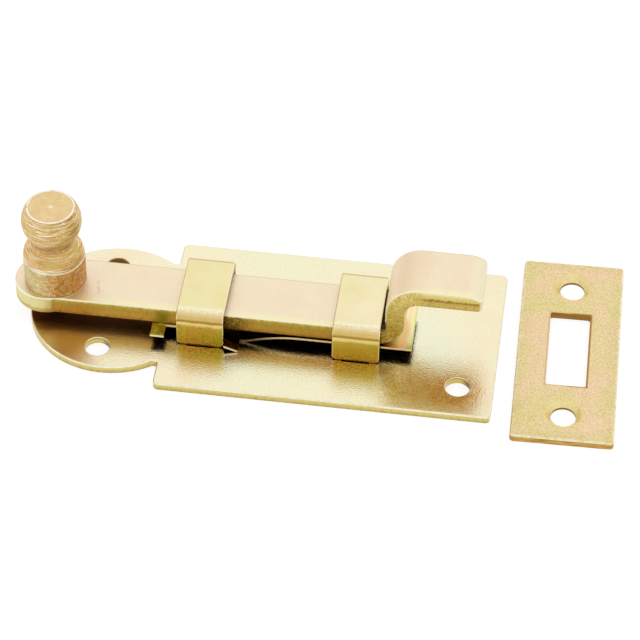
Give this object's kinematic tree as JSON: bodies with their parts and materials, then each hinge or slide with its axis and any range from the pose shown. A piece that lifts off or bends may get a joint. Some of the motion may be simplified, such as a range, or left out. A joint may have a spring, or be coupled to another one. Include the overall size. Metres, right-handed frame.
{
  "type": "window bolt",
  "caption": "Cranked slide bolt on a lobed plate, held by bent guide straps and pressed by a leaf spring, with a turned knob and a loose slotted striker plate.",
  "frame": {"origin": "on the base plate's back face, on the bolt's centre line, midway along the plate's 95 mm length", "axes": "+X along the bolt's travel from the knob to the nose, +Y across the plate, +Z away from the surface that the plate is screwed to"},
  "size_m": [0.1223, 0.0494, 0.0278],
  "materials": {
    "plate_steel": "bright yellow-passivated zinc plating, smooth and reflective",
    "strap_steel": "bright yellow-passivated zinc plating, smooth",
    "spring_steel": "bright yellow-passivated zinc plating with rainbow tints",
    "bar_steel": "satin yellow-passivated zinc plating",
    "knob_steel": "turned, yellow-passivated zinc plating with fine turning marks",
    "striker_steel": "matt yellow-passivated zinc plating with pink and green tints"
  },
  "bodies": {
    "base": {"base_plate": "plate_steel", "knob_end_strap": "strap_steel", "nose_end_strap": "strap_steel", "leaf_spring": "spring_steel"},
    "bolt": {"bolt_bar": "bar_steel", "pull_knob": "knob_steel"},
    "striker": {"striker_plate": "striker_steel"}
  },
  "joints": [
    {"name": "bolt_slide", "type": "slide", "parent": "base", "child": "bolt", "axis": [1, 0, 0], "range_m": [0, 0.0193]},
    {"name": "striker_lift", "type": "slide", "parent": "base", "child": "striker", "axis": [0, 0, 1], "range_m": [0, 0.035]}
  ]
}
